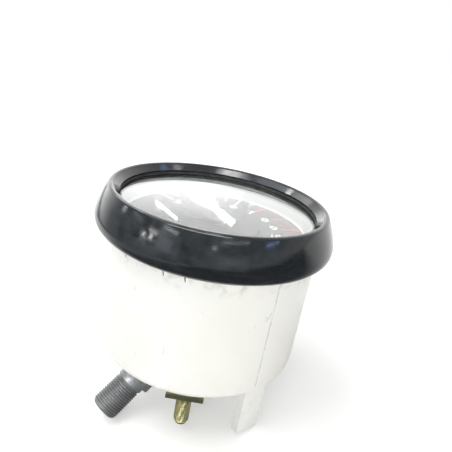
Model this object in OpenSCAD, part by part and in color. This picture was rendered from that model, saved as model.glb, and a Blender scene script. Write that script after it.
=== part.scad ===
// Cable-driven motorcycle tachometer with a white case, a thick black bezel and an angled drive outlet.
// Origin: centre of the two mounting studs, on the plane that the bracket seats on. +Z runs along the
// instrument's axis towards the reader, +Y towards 12 o'clock on the dial.

/* [Case] */
// Outer radius of the white case
case_r = 42; // [40:0.5:46]
// Wall of the case
case_wall = 2.2; // [1.8:0.1:2.8]
// Thickness of the case's floor
case_floor = 2.5; // [2:0.1:3.5]
// Depth of the case from its back to the rim under the glass
case_depth = 58.5; // [57.6:0.1:59.2]
// Radius of the case's back edge
case_corner_r = 4; // [1:0.5:6]
// Number of feet round the back edge, a third of a turn apart
foot_count = 2; // [2:1:3]
// Width of a foot
foot_w = 10; // [6:0.5:12]
// Height of a foot below the case's back
foot_h = 18; // [12:0.5:19]
// Direction of the first foot, seen from the dial
foot_angle = -51; // [-60:1:-45]
// Depth of a foot, along the radius
foot_depth = 4; // [3:0.5:5]

/* [Bezel] */
// How far the bezel's lip stands above the glass
bezel_rise = 4.3; // [4.2:0.1:5]
// Height of the whole bezel ring
bezel_h = 16.3; // [14:0.1:17.5]
// How far the lip's outer edge stands outside the case
lip_over = 1.45; // [1:0.05:2]
// How far the belly of the bezel stands outside the case
belly_over = 5.25; // [4.5:0.05:7]
// Depth of the belly's widest circle below the lip
belly_drop = 12; // [11:0.1:12.1]
// Radius of the belly's lower edge
belly_r = 4.2; // [3:0.1:4.2]
// Crown of the bezel's flank between the belly and the brow
flank_crown = 0.25; // [0.1:0.05:0.35]
// Width of the lip's rounded crest
crest_w = 2.4; // [1.6:0.1:3]
// Width of the sloping face inside the crest
slope_w = 2.4; // [1.8:0.1:2.6]
// Drop of the sloping face inside the crest
slope_drop = 2.1; // [1.5:0.1:2.2]
// Depth of the groove between the sloping face and the gasket
groove_d = 0.6; // [0.4:0.1:1]
// Wire radius of the ring that keeps the bezel on the case
ring_wire_r = 0.5; // [0.4:0.05:0.6]

/* [Glass and dial] */
// Thickness of the front glass
glass_t = 2; // [1.5:0.1:2.5]
// Thickness of the rubber seat between the case's rim and the glass
seat_t = 1.2; // [1:0.1:1.5]
// Width of the rubber gasket on the glass
gasket_w = 3.1; // [2.8:0.1:3.3]
// Thickness of the gasket
gasket_t = 0.9; // [0.6:0.1:1]
// Height of the white reflector between the dial and the glass's seat
reflector_h = 6.5; // [6:0.1:6.8]
// Width of the reflector's upper edge
reflector_top_w = 1.9; // [1.6:0.1:2.1]
// Width of the reflector's lower edge
reflector_foot_w = 2.4; // [2.3:0.1:3]
// Thickness of the dial plate
dial_t = 0.8; // [0.6:0.1:1.2]
// Radius of the hole in the dial's middle
dial_hole_r = 2.6; // [2:0.1:3]
// Distance of the dial screws from the axis
dial_screw_pos = 19; // [18.5:0.1:19.5]
// Radius of a dial screw's head
dial_head_r = 2.1; // [1.8:0.1:2.3]
// Radius of a dial screw's shank
dial_shank_r = 1.1; // [0.9:0.05:1.25]
// Length of a dial screw's thread in its post
dial_thread = 2.4; // [2:0.1:3]

/* [Pointer] */
// Length of the pointer from the axis to its tip
pointer_len = 30; // [26:0.5:32]
// Length of the pointer's tail behind the axis
pointer_tail = 9; // [8:0.5:12]
// Width of the pointer at the hub
pointer_w = 1.8; // [1.4:0.1:2.4]
// Width of the pointer at the tip
pointer_tip_w = 0.7; // [0.5:0.1:1]
// Thickness of the pointer
pointer_t = 0.5; // [0.4:0.05:0.6]
// Height of the pointer's underside above the dial
pointer_lift = 1.1; // [1.1:0.05:1.3]
// Angle of the scale from zero to the last mark
scale_sweep = 210; // [200:5:250]
// Turn of the dial against the case
dial_turn = 5.5; // [-6:0.5:6]
// Radius of the pointer's cap
cap_r = 5; // [4:0.1:6]
// Thickness of the pointer's cap above the pointer
cap_t = 1.2; // [0.8:0.05:1.2]
// Radius of the pointer's spindle
staff_r = 0.75; // [0.6:0.05:0.9]
// Radius at which the pointer stops stand
stop_pos = 18; // [14:0.5:20]
// Radius of a pointer stop
stop_r = 0.6; // [0.5:0.05:0.8]

/* [Movement] */
// Radius of the magnet
magnet_r = 11; // [10:0.1:11.5]
// Height of the magnet
magnet_h = 8; // [7:0.1:8.5]
// Step between the magnet's rim and the rim of its carrier
carrier_step = 2; // [1.5:0.1:3]
// Gap between the magnet and the drag cup
cup_gap = 1.2; // [1:0.05:1.4]
// Wall of the drag cup
cup_wall = 0.6; // [0.5:0.05:0.8]
// Gap between the drag cup and the field ring
field_gap = 1; // [0.8:0.05:1.2]
// Wall of the field ring
field_wall = 2.2; // [1.8:0.1:2.4]
// Height of the field ring
field_h = 13; // [10:0.5:14]
// Distance of the pillars and the case screws from the axis
post_pos = 24; // [23.5:0.1:25]
// Distance of the frame pillars from the axis
pillar_pos = 20.5; // [20:0.1:20.8]
// Radius of a frame pillar
pillar_r = 2.2; // [1.8:0.1:2.4]
// Thickness of the base plate
base_t = 3; // [2.5:0.1:3.5]
// Radius of the base plate's round middle
base_r = 18.4; // [18:0.1:19]
// Width of an arm of the base plate
arm_w = 8; // [7:0.5:9]
// Height of the base plate's underside above the case's floor
base_lift = 18; // [17.5:0.1:18.5]
// Length of the base plate's boss below the plate
plate_boss_len = 3; // [2.5:0.1:3.2]
// Radius of the base plate's boss
plate_boss_r = 7; // [6.5:0.1:8]
// Wall of the drive spindle's bush
bush_wall = 2; // [1.5:0.1:2.5]
// Distance between the base plate and the top plate
frame_gap = 18.5; // [18:0.1:19]
// Thickness of the top plate
top_t = 2; // [1.5:0.1:2.5]
// Radius of the top plate's bush
top_bush_r = 2.5; // [2:0.1:3]
// Depth of a frame pillar's thread
pillar_thread = 4; // [3:0.5:5]
// Radius of the drive spindle
spindle_r = 2; // [1.8:0.1:2.2]
// Running clearance of the turning shafts
running_gap = 0.05; // [0.02:0.01:0.08]
// Turns of the hairspring
hairspring_turns = 3.5; // [2.5:0.5:4]
// Radius of the hairspring's outer turn
hairspring_r = 9.6; // [8.5:0.1:10]
// Thickness of the hairspring's strip
hairspring_t = 0.2; // [0.15:0.05:0.3]
// Height of the hairspring's strip
hairspring_h = 1; // [0.8:0.1:1.2]

/* [Drive] */
// Direction of the drive outlet round the axis
outlet_azimuth = 220; // [214:1:224]
// Tilt of the drive outlet away from straight back
outlet_tilt = 50; // [48:1:52]
// Height above the mounting plane at which the two drive axes meet
apex_z = 12; // [11.8:0.1:12.4]
// Number of teeth on each bevel gear
gear_teeth = 12; // [10:1:14]
// Pitch radius of each bevel gear
gear_r = 6; // [5.5:0.1:6.2]
// Face width of the gear teeth
gear_face = 2.4; // [2:0.1:2.8]
// Outer radius of the housing's outlet tube
outlet_r = 7.75; // [7:0.05:8]
// Distance from the gears' meeting point to the end of the outlet tube
outlet_end = 38; // [36:0.5:40]
// Outer radius of the gear chamber
chamber_r = 13; // [12.6:0.1:13.2]
// Wall of the gear chamber
chamber_wall = 2.5; // [2:0.1:3]
// Radius of the housing's flange
flange_r = 18.2; // [18:0.1:18.8]
// Thickness of the housing's flange
flange_t = 2.6; // [2:0.1:3]
// Depth that a housing screw reaches into the case
housing_thread = 5; // [4:0.5:5.5]
// Radius of the input shaft
shaft_r = 2.5; // [2.2:0.1:2.8]
// Outer radius of the input shaft's socket end
socket_r = 3.4; // [3.2:0.05:3.6]
// Width of the square socket that takes the drive cable's inner
socket_w = 2.7; // [2.5:0.1:3.2]
// Depth of the square socket
socket_depth = 10; // [6:0.5:12]
// Length of a shaft bush
bush_len = 5; // [4:0.5:5]
// Outer radius of a shaft bush
bush_r = 4.5; // [4:0.1:5]
// Outer radius of the outlet's thread
thread_r = 5.95; // [5.5:0.05:6.5]
// Pitch of the outlet's thread
thread_pitch = 1; // [0.75:0.25:1.5]
// Length of the outlet's thread
thread_len = 14; // [10:0.5:18]
// Length of the smooth collar before the thread
collar_len = 2.4; // [1.5:0.1:4]
// Radius of the bore that takes the cable's ferrule
ferrule_r = 4; // [3.8:0.05:4.4]
// Depth of the bore that takes the cable's ferrule
ferrule_depth = 9; // [6:0.5:12]
// Length of the nipple's spigot inside the housing
spigot_len = 5; // [3:0.5:5]

/* [Mounting] */
// Distance between the two mounting studs
stud_spacing = 62; // [60:0.5:64]
// Radius of a mounting stud
stud_r = 3; // [2.5:0.5:3]
// Length of a mounting stud behind its plate
stud_len = 18; // [12:1:25]
// Width of a stud plate
plate_w = 14; // [12:0.5:16]
// Length of a stud plate along the radius
plate_len = 18; // [16:0.5:18.5]
// Thickness of a stud plate
plate_t = 2; // [1.5:0.1:2.5]
// Radius of a small screw's head
screw_head_r = 2.2; // [1.8:0.1:2.3]
// Radius of a small screw's shank
screw_r = 1.25; // [1:0.05:1.3]
// Height of a small screw's head
screw_head_h = 1.4; // [1:0.1:1.8]
// Height of a dial screw's head
dial_head_h = 0.8; // [0.5:0.05:0.8]

/* [Lamps] */
// Distance between a lamp holder's plug and the case's wall
lamp_wall_gap = 1.9; // [1.6:0.1:2.4]
// Radius of a lamp holder's plug in the case's floor
lamp_plug_r = 6.9; // [6.5:0.1:7]
// Height of a lamp holder's plug above the case's floor
lamp_plug_rise = 3.5; // [2.5:0.1:4.5]
// Radius of a lamp holder's flange
lamp_flange_r = 8.3; // [8:0.1:8.4]
// Radius of a lamp's cap
lamp_cap_r = 4.9; // [4.5:0.1:5]
// Radius of a lamp's bulb
bulb_r = 4.4; // [4:0.1:4.6]
// Height of a lamp's bulb above its cap
bulb_h = 9; // [8:0.5:10]
// Length of a lamp's cap
lamp_cap_h = 7; // [6:0.5:7.5]
// Length of a lamp's terminal behind the case
terminal_len = 8.5; // [6:0.5:10]
// Width of a lamp's terminal
terminal_w = 3; // [2.5:0.1:4]
// Thickness of a lamp's terminal
terminal_t = 0.8; // [0.5:0.1:1]
// Distance of a lamp's terminals from the lamp's middle
terminal_pos = 2.5; // [2:0.1:3]

/* [Hidden] */

$fn = 96;
// Overlap of a cutter past the face that it cuts
cut = 0.5;
// Small clearance between fixed pieces that don't press on each other
fit_gap = 0.05;
// Clearance between larger fixed pieces
loose_gap = 0.3;

// Heights along the instrument's axis
case_back = plate_t;
floor_top = case_back + case_floor;
rim_z = case_back + case_depth;
glass_z = rim_z + seat_t;
glass_top = glass_z + glass_t;
lip_top = glass_top + bezel_rise;
gasket_top = glass_top + gasket_t;
dial_top = rim_z - reflector_h;
dial_bottom = dial_top - dial_t;
base_z = floor_top + base_lift;
base_top = base_z + base_t;
top_plate_z = base_top + frame_gap;
top_plate_top = top_plate_z + top_t;
post_h = dial_bottom - top_plate_top;
carrier_z = base_top + 0.7;
magnet_z = carrier_z + 3.3;
magnet_top = magnet_z + magnet_h;
cup_top_z = magnet_top + 1.9;
hairspring_z = cup_top_z + cup_wall + 1.3;
pointer_z = dial_top + pointer_lift;
cap_z = pointer_z + pointer_t;
cap_top = cap_z + cap_t;
jewel_h = 2;
jewel_z = magnet_top - jewel_h - 0.5;
bore_bottom = magnet_z + 3;

// Radii of the case and of what it carries
case_bore = case_r - case_wall;
reflector_bore = case_bore - fit_gap - reflector_top_w;
lamp_pos = case_bore - lamp_plug_r - lamp_wall_gap;
ledge_w = 1.8;
ledge_h = 3.5;
dial_r = case_bore - 0.2;
glass_r = case_r - 0.5;
bezel_bore = case_r + loose_gap;
ring_seat_z = lip_top - bezel_h + 3.2;

// The bezel's section
belly_max = case_r + belly_over;
crest_out = case_r + lip_over;
crest_mid = crest_out - crest_w / 2;
crest_round = 0.55;
brow_round = 1.1;
slope_edge_r = crest_out - crest_w - slope_w;
slope_edge_z = lip_top - crest_round - slope_drop;
flank_r = 8;
flank_angle = 16;
brow_start = 25;
belly_z = lip_top - belly_drop;
bezel_bottom = lip_top - bezel_h;

// The drag cup and the field ring
cup_r = magnet_r + cup_gap + cup_wall;
field_r = cup_r + field_gap + field_wall;

// The pointer at rest and its stops
rest_angle = 90 + dial_turn + scale_sweep / 2;
stop_swing = asin((stop_r + pointer_w / 2 + 0.3) / stop_pos);

// Bevel gears: the pitch cone's half angle, and the angles that the teeth reach above and below it
cone_angle = (180 - outlet_tilt) / 2;
gear_module = 2 * gear_r / gear_teeth;
cone_out = gear_r / sin(cone_angle);
cone_in = cone_out - gear_face;
tip_angle = cone_angle + atan(0.85 * gear_module / cone_out);
root_angle = cone_angle - atan(1.15 * gear_module / cone_out);
tooth_root = 0.33 * 360 / gear_teeth;
tooth_tip = 0.12 * 360 / gear_teeth;
gear_back = 6.2;
gear_hub_r = 4;
gear_hub_len = 1.4;

// Places along the drive outlet, measured from the point where the two drive axes meet
tube_start = 9;
inner_bush_start = 16;
outer_bush_start = outlet_end - spigot_len - bush_len;
spigot_r = thread_r - 0.45;
collar_end = outlet_end + collar_len;
nipple_end = collar_end + thread_len;
socket_end = nipple_end - ferrule_depth - 0.5;
socket_start = outlet_end - spigot_len + loose_gap;

// Thickness of the seal under the housing's flange
seal_t = 0.4;

// Radius of a stud's head inside its plate
stud_head_r = stud_r + 0.5;

// Countersunk screws of the stud plates: depth of the head below the plate's face, and its height
sunk = 0.1;
sink_h = screw_head_r - screw_r;

// Directions of what repeats round the axis
post_angles = [60, 180, 300];
housing_screw_angles = [40, 130, 310];
lamp_angles = [20, 150];
housing_screw_pos = chamber_r + 2.5;
plate_screw_pos = 6.2;
chamber_top = apex_z + gear_back - 0.2;

// Points of an arc from angle a to angle b
function arc(cx, cy, r, a, b, n) = [for (i = [0:n]) [cx + r * cos(a + (b - a) * i / n),
    cy + r * sin(a + (b - a) * i / n)]];

// A direction on a cone round the gear's axis, at a distance from the cone's point
function on_cone(dist, slope, turn) = dist * [sin(slope) * cos(turn), sin(slope) * sin(turn), cos(slope)];

// A ring between two radii
module ring(outer, inner, h) {
    difference() {
        cylinder(r = outer, h = h);
        translate([0, 0, -cut]) cylinder(r = inner, h = h + 2 * cut);
    }
}

// The frame of the drive outlet: its +Z runs out along the outlet
module along_outlet() {
    translate([0, 0, apex_z]) rotate([0, 0, outlet_azimuth]) rotate([0, 180 - outlet_tilt, 0]) children();
}

// Places its child at each of a list of directions
module around(angles, dist) {
    for (a = angles) rotate([0, 0, a]) translate([dist, 0, 0]) children();
}

// A screw with its head above z = 0 and its shank below
module screw(head_r, head_h, shank_r, shank_len, slot_w) {
    difference() {
        union() {
            cylinder(r = head_r, h = head_h, $fn = 48);
            translate([0, 0, -shank_len]) cylinder(r = shank_r, h = shank_len + head_h / 2, $fn = 32);
        }
        translate([-head_r - cut, -slot_w / 2, head_h / 2]) cube([2 * (head_r + cut), slot_w, head_h]);
    }
}

// Thick black ring over the glass, with a thin lip, a sloping inner face and a rounded belly
module bezel_ring() {
    flank_low = [belly_max - flank_r * (1 - cos(flank_angle)), belly_z + flank_r * sin(flank_angle)];
    flank_high = [crest_mid + crest_w / 2 * cos(brow_start), lip_top - brow_round * (1 - sin(brow_start))];
    flank_out = [flank_high[1] - flank_low[1], flank_low[0] - flank_high[0]] / norm(flank_high - flank_low);
    outline = concat(
        [[bezel_bore, bezel_bottom], [belly_max - belly_r, bezel_bottom]],
        arc(belly_max - belly_r, bezel_bottom + belly_r, belly_r, -80, -8, 12),
        arc(belly_max - flank_r, belly_z, flank_r, 0, flank_angle, 6),
        [for (i = [1:15]) flank_low + (flank_high - flank_low) * i / 16 + flank_out * 4 * flank_crown
            * i / 16 * (1 - i / 16)],
        [for (a = [brow_start:10:85]) [crest_mid + crest_w / 2 * cos(a), lip_top - brow_round * (1 - sin(a))]],
        [for (a = [90:20:170]) [crest_mid + crest_w / 2 * cos(a), lip_top - crest_round * (1 - sin(a))]],
        [[crest_mid - crest_w / 2, lip_top - crest_round], [slope_edge_r, slope_edge_z],
         [slope_edge_r, slope_edge_z - 0.15], [slope_edge_r + groove_d, slope_edge_z - 0.2],
         [slope_edge_r + groove_d, gasket_top], [bezel_bore, gasket_top]]);
    color("#16181d") rotate_extrude($fn = 180) difference() {
        polygon(outline);
        translate([bezel_bore, ring_seat_z]) circle(r = ring_wire_r + fit_gap, $fn = 24);
    }
}

// Flat round front glass
module front_glass() {
    color("#dfe8e2", 0.35) translate([0, 0, glass_z]) cylinder(r = glass_r, h = glass_t, $fn = 180);
}

// Black rubber gasket between the glass and the bezel
module glass_gasket() {
    color("#1c1c1e") translate([0, 0, glass_top]) ring(glass_r, glass_r - gasket_w, gasket_t, $fn = 180);
}

// Black rubber seat between the glass and the case's rim
module glass_seat() {
    color("#1c1c1e") translate([0, 0, rim_z]) ring(glass_r, reflector_bore, seat_t, $fn = 180);
}

// Round wire that locks the bezel to the case
module bezel_retaining_ring() {
    color("silver") translate([0, 0, ring_seat_z]) rotate_extrude(angle = 350, $fn = 120)
        translate([bezel_bore, 0]) circle(r = ring_wire_r, $fn = 24);
}

// White ring that stands on the dial and throws the lamps' light inwards
module reflector_ring() {
    outer = case_bore - fit_gap;
    chamfer = 0.35;
    color("#f4f5ee") rotate_extrude($fn = 180) polygon([[outer - reflector_foot_w, dial_top],
        [outer, dial_top], [outer, rim_z], [reflector_bore, rim_z],
        [outer - reflector_foot_w + chamfer, dial_top + 0.6]]);
}

// Black dial plate with its centre hole, screw holes and stop holes
module dial_plate() {
    color("#1b1c1e") translate([0, 0, dial_bottom]) difference() {
        cylinder(r = dial_r, h = dial_t, $fn = 180);
        translate([0, 0, -cut]) cylinder(r = dial_hole_r, h = dial_t + 2 * cut);
        around([90, 270], dial_screw_pos) translate([0, 0, -cut])
            cylinder(r = dial_shank_r + fit_gap, h = dial_t + 2 * cut);
        for (a = stop_angles()) rotate([0, 0, a]) translate([stop_pos, 0, -cut])
            cylinder(r = stop_r, h = dial_t + 2 * cut);
    }
}

// Directions of the two pointer stops, just outside the ends of the scale
function stop_angles() = [rest_angle + stop_swing, rest_angle - scale_sweep - stop_swing];

// Two screws that hold the dial
module dial_screws() {
    color("#2b2b2d") around([90, 270], dial_screw_pos) translate([0, 0, dial_top])
        screw(dial_head_r, dial_head_h, dial_shank_r, dial_t + dial_thread, 0.5);
}

// Two posts on the top plate that carry the dial
module dial_posts() {
    color("silver") around([90, 270], dial_screw_pos) translate([0, 0, top_plate_top]) difference() {
        cylinder(r = dial_head_r + 0.4, h = post_h);
        translate([0, 0, post_h - dial_thread - 0.4]) cylinder(r = dial_shank_r, h = dial_thread + 0.4 + cut);
    }
}

// Two pins in the dial that stop the pointer at zero and past full scale
module pointer_stops() {
    color("#2b2b2d") for (a = stop_angles()) rotate([0, 0, a]) translate([stop_pos, 0, dial_bottom])
        cylinder(r = stop_r, h = cap_z - dial_bottom + 0.1);
}

// Flat tapered pointer with a counterweight tail, resting at zero
module pointer() {
    color("#e8e6df") rotate([0, 0, rest_angle]) translate([0, 0, pointer_z]) difference() {
        linear_extrude(pointer_t) {
            polygon([[0, -pointer_w / 2], [pointer_len - 1, -pointer_tip_w / 2], [pointer_len, 0],
                [pointer_len - 1, pointer_tip_w / 2], [0, pointer_w / 2], [-pointer_tail, pointer_w],
                [-pointer_tail, -pointer_w]]);
            circle(r = cap_r - 0.6);
        }
        translate([0, 0, -cut]) cylinder(r = staff_r, h = pointer_t + 2 * cut);
    }
}

// Black cap over the pointer's hub
module pointer_cap() {
    edge = 0.5;
    color("#151515") translate([0, 0, cap_z]) rotate_extrude() difference() {
        polygon(concat([[0, 0], [cap_r, 0]], arc(cap_r - edge, cap_t - edge, edge, 0, 90, 4), [[0, cap_t]]));
        translate([-cut, -cut]) square([staff_r + cut, cut + cap_t / 2]);
    }
}

// Spindle that carries the pointer, the hairspring's collet and the drag cup
module pointer_spindle() {
    color("silver") translate([0, 0, bore_bottom + 0.5])
        cylinder(r = staff_r, h = cap_z + cap_t / 2 - bore_bottom - 0.5);
}

// Aluminium cup that the turning magnet drags round
module drag_cup() {
    wall_bottom = magnet_z - 0.5;
    color("gainsboro") difference() {
        translate([0, 0, wall_bottom]) cylinder(r = cup_r, h = cup_top_z + cup_wall - wall_bottom);
        translate([0, 0, wall_bottom - cut]) cylinder(r = cup_r - cup_wall, h = cup_top_z - wall_bottom + cut);
        translate([0, 0, cup_top_z - cut]) cylinder(r = staff_r, h = cup_wall + 2 * cut);
    }
}

// Brass collet that grips the hairspring's inner end
module hairspring_collet() {
    color("goldenrod") translate([0, 0, cup_top_z + cup_wall]) ring(2, staff_r, 2.6);
}

// Flat spiral spring that turns the pointer back to zero
module hairspring() {
    steps = 20;
    start_r = 2 + loose_gap;
    total = round(hairspring_turns * steps);
    function spiral(i, side) = (start_r + (hairspring_r - start_r) * i / total + side)
        * [cos(90 + 360 * i / steps), sin(90 + 360 * i / steps)];
    color("#b98a3a") translate([0, 0, hairspring_z]) linear_extrude(hairspring_h) polygon(concat(
        [for (i = [0:total]) spiral(i, 0)], [for (i = [total:-1:0]) spiral(i, hairspring_t)]));
}

// Pin under the top plate that holds the hairspring's outer end
module hairspring_stud() {
    pin_r = 0.8;
    end_angle = 90 + 360 * hairspring_turns;
    color("goldenrod") rotate([0, 0, end_angle])
        translate([hairspring_r + hairspring_t + pin_r + fit_gap, 0, hairspring_z - 0.2])
        cylinder(r = pin_r, h = top_plate_z - hairspring_z + 0.2);
}

// Upper plate of the movement's frame, which carries the upper bush
module top_plate() {
    plate_r = pillar_pos + pillar_r;
    color("#c9c9c4") translate([0, 0, top_plate_z]) difference() {
        cylinder(r = plate_r, h = top_t);
        translate([0, 0, -cut]) cylinder(r = top_bush_r, h = top_t + 2 * cut);
        around(post_angles, pillar_pos) translate([0, 0, -cut])
            cylinder(r = screw_r + fit_gap, h = top_t + 2 * cut);
    }
}

// Brass bush that guides the pointer's spindle
module top_bush() {
    color("goldenrod") translate([0, 0, top_plate_z]) ring(top_bush_r, staff_r + running_gap, top_t + 0.6);
}

// Three pillars between the two plates
module frame_pillars() {
    color("silver") around(post_angles, pillar_pos) translate([0, 0, base_top]) difference() {
        cylinder(r = pillar_r, h = frame_gap);
        translate([0, 0, frame_gap - pillar_thread - 1]) cylinder(r = screw_r, h = pillar_thread + 2);
    }
}

// Three screws through the top plate into the pillars
module pillar_screws() {
    color("gray") around(post_angles, pillar_pos) translate([0, 0, top_plate_top])
        screw(pillar_r, screw_head_h, screw_r, top_t + pillar_thread, 0.6);
}

// Lower plate with three arms and a boss for the drive spindle's bush
module base_plate() {
    color("#b9bab6") difference() {
        union() {
            translate([0, 0, base_z]) linear_extrude(base_t) {
                circle(r = base_r);
                for (a = post_angles) rotate([0, 0, a]) {
                    translate([base_r - 4, -arm_w / 2]) square([post_pos - base_r + 4, arm_w]);
                    translate([post_pos, 0]) circle(r = arm_w / 2 + 0.6);
                }
            }
            translate([0, 0, base_z - plate_boss_len]) cylinder(r = plate_boss_r, h = plate_boss_len + 1);
        }
        translate([0, 0, base_z - plate_boss_len - cut])
            cylinder(r = spindle_r + bush_wall, h = base_t + plate_boss_len + 2 * cut);
        around(post_angles, post_pos) translate([0, 0, base_z - cut]) cylinder(r = screw_r, h = base_t + 2 * cut);
    }
}

// Bush of the drive spindle
module spindle_bush() {
    color("goldenrod") translate([0, 0, base_z - plate_boss_len])
        ring(spindle_r + bush_wall, spindle_r + running_gap, plate_boss_len + base_t + 0.4);
}

// Soft iron ring round the drag cup
module field_ring() {
    color("#8f9296") translate([0, 0, base_top]) ring(field_r, field_r - field_wall, field_h);
}

// Round magnet that the drive spindle turns inside the drag cup
module magnet() {
    color("#4a4b4d") translate([0, 0, magnet_z]) ring(magnet_r, spindle_r + 1, magnet_h);
}

// Brass seat that fixes the magnet to the drive spindle
module magnet_carrier() {
    color("goldenrod") translate([0, 0, carrier_z]) ring(magnet_r - carrier_step, spindle_r, magnet_z - carrier_z);
}

// Spindle from the driven gear up to the magnet
module drive_spindle() {
    foot_z = apex_z + cone_in * cos(root_angle);
    color("silver") difference() {
        union() {
            translate([0, 0, foot_z]) cylinder(r = spindle_r, h = magnet_z - foot_z);
            translate([0, 0, magnet_z]) cylinder(r = spindle_r + 1, h = magnet_h);
        }
        translate([0, 0, bore_bottom]) cylinder(r = staff_r + 0.45, h = magnet_h);
    }
}

// Bearing ring for the pointer spindle's lower end
module pivot_jewel() {
    color("#b8324a") translate([0, 0, jewel_z]) ring(staff_r + 0.45, staff_r + running_gap, jewel_h);
}

// Bevel gear round its own axis, with the two drive axes' meeting point at the origin
module bevel_gear(phase, bore) {
    root_out = on_cone(cone_out, root_angle, 0);
    root_in = on_cone(cone_in, root_angle, 0);
    rotate_extrude() polygon([[bore, root_in[2]], [root_in[0], root_in[2]], [root_out[0], root_out[2]],
        [root_out[0], gear_back - gear_hub_len], [gear_hub_r, gear_back - gear_hub_len],
        [gear_hub_r, gear_back], [bore, gear_back]]);
    sink = 1.5;
    for (i = [0:gear_teeth - 1]) {
        turn = phase + i * 360 / gear_teeth;
        low = root_angle - sink;
        ends = [for (d = [cone_in, cone_out]) for (s = [1, -1]) each
            [on_cone(d, low, turn + s * tooth_root), on_cone(d, tip_angle, turn + s * tooth_tip)]];
        polyhedron(points = ends, faces = [[0, 2, 3, 1], [4, 5, 7, 6], [0, 1, 5, 4], [2, 6, 7, 3],
            [1, 3, 7, 5], [0, 4, 6, 2]]);
    }
}

// Gear on the drive spindle
module driven_gear() {
    color("goldenrod") translate([0, 0, apex_z]) rotate([0, 0, outlet_azimuth]) bevel_gear(0, spindle_r);
}

// Gear on the input shaft
module drive_gear() {
    color("goldenrod") along_outlet() bevel_gear(180 / gear_teeth + 180, shaft_r);
}

// Input shaft with the square socket that the drive cable's inner turns
module input_shaft() {
    foot = cone_in * cos(root_angle);
    color("silver") along_outlet() difference() {
        union() {
            translate([0, 0, foot]) cylinder(r = shaft_r, h = socket_start - foot + 1);
            translate([0, 0, socket_start]) cylinder(r = socket_r, h = socket_end - socket_start);
        }
        translate([-socket_w / 2, -socket_w / 2, socket_end - socket_depth])
            cube([socket_w, socket_w, socket_depth + cut]);
    }
}

// Two bushes of the input shaft
module shaft_bushes() {
    color("goldenrod") along_outlet() for (start = [inner_bush_start, outer_bush_start])
        translate([0, 0, start]) ring(bush_r, shaft_r + running_gap, bush_len);
}

// Die-cast housing: flange behind the case, gear chamber inside it and the slanting outlet tube
module drive_housing() {
    chamber_floor = case_back;
    flange_z = case_back - flange_t - seal_t;
    color("#3a3c3f") difference() {
        union() {
            translate([0, 0, flange_z]) cylinder(r = flange_r, h = flange_t);
            translate([0, 0, flange_z + 0.1]) cylinder(r = chamber_r, h = chamber_top - flange_z - 0.1);
            along_outlet() translate([0, 0, tube_start]) cylinder(r = outlet_r, h = outlet_end - tube_start);
        }
        translate([0, 0, chamber_floor - 0.2]) cylinder(r = chamber_r - chamber_wall, h = chamber_top);
        along_outlet() translate([0, 0, tube_start - cut]) cylinder(r = bush_r, h = outlet_end);
        along_outlet() translate([0, 0, outlet_end - spigot_len]) cylinder(r = spigot_r, h = spigot_len + cut);
        around(housing_screw_angles, housing_screw_pos) translate([0, 0, flange_z - cut])
            cylinder(r = screw_r + fit_gap, h = flange_t + 2 * cut);
    }
    color("#3a3c3f") difference() {
        along_outlet() translate([0, 0, tube_start]) cylinder(r = outlet_r, h = inner_bush_start - tube_start + 4);
        along_outlet() translate([0, 0, tube_start - cut]) cylinder(r = bush_r, h = outlet_end);
        translate([0, 0, -50]) cylinder(r = 80, h = 50 + case_back - 0.2);
    }
}

// Thin rubber seal between the housing's flange and the case
module housing_seal() {
    color("#202022") translate([0, 0, case_back - seal_t]) difference() {
        ring(flange_r - 0.2, chamber_r + 0.2, seal_t);
        translate([0, 0, -case_back + seal_t]) outlet_cutter(outlet_r + loose_gap);
        around(housing_screw_angles, housing_screw_pos) translate([0, 0, -cut])
            cylinder(r = screw_r + fit_gap, h = 2);
    }
}

// Space of the outlet tube where it passes through the case's floor
module outlet_cutter(r) {
    along_outlet() translate([0, 0, tube_start - 2]) cylinder(r = r, h = 20);
}

// Three screws that hold the housing to the case
module housing_screws() {
    head_z = case_back - flange_t - seal_t;
    color("gray") around(housing_screw_angles, housing_screw_pos) translate([0, 0, head_z])
        rotate([180, 0, 0]) screw(screw_head_r, screw_head_h, screw_r, flange_t + seal_t + housing_thread, 0.6);
}

// Threaded nipple that the drive cable's nut screws onto
module threaded_nipple() {
    root_r = thread_r - 0.6;
    ridge = 0.3 * thread_pitch;
    ridges = floor((thread_len - 0.8) / thread_pitch);
    first = nipple_end - 0.6 - ridges * thread_pitch;
    outline = concat(
        [[socket_r + loose_gap, outlet_end - spigot_len], [spigot_r, outlet_end - spigot_len],
         [spigot_r, outlet_end], [thread_r + 0.05, outlet_end], [thread_r + 0.05, collar_end - 0.3],
         [thread_r - 0.3, collar_end], [root_r, collar_end]],
        [for (i = [0:ridges - 1]) each [[root_r, first + i * thread_pitch + 0.1],
            [thread_r, first + i * thread_pitch + ridge], [thread_r, first + i * thread_pitch + 2 * ridge],
            [root_r, first + (i + 1) * thread_pitch - 0.1]]],
        [[root_r, nipple_end - 0.3], [root_r - 0.3, nipple_end], [ferrule_r, nipple_end],
         [ferrule_r, nipple_end - ferrule_depth], [socket_r + loose_gap, nipple_end - ferrule_depth]]);
    color("#2d2f31") along_outlet() rotate_extrude() polygon(outline);
}

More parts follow.
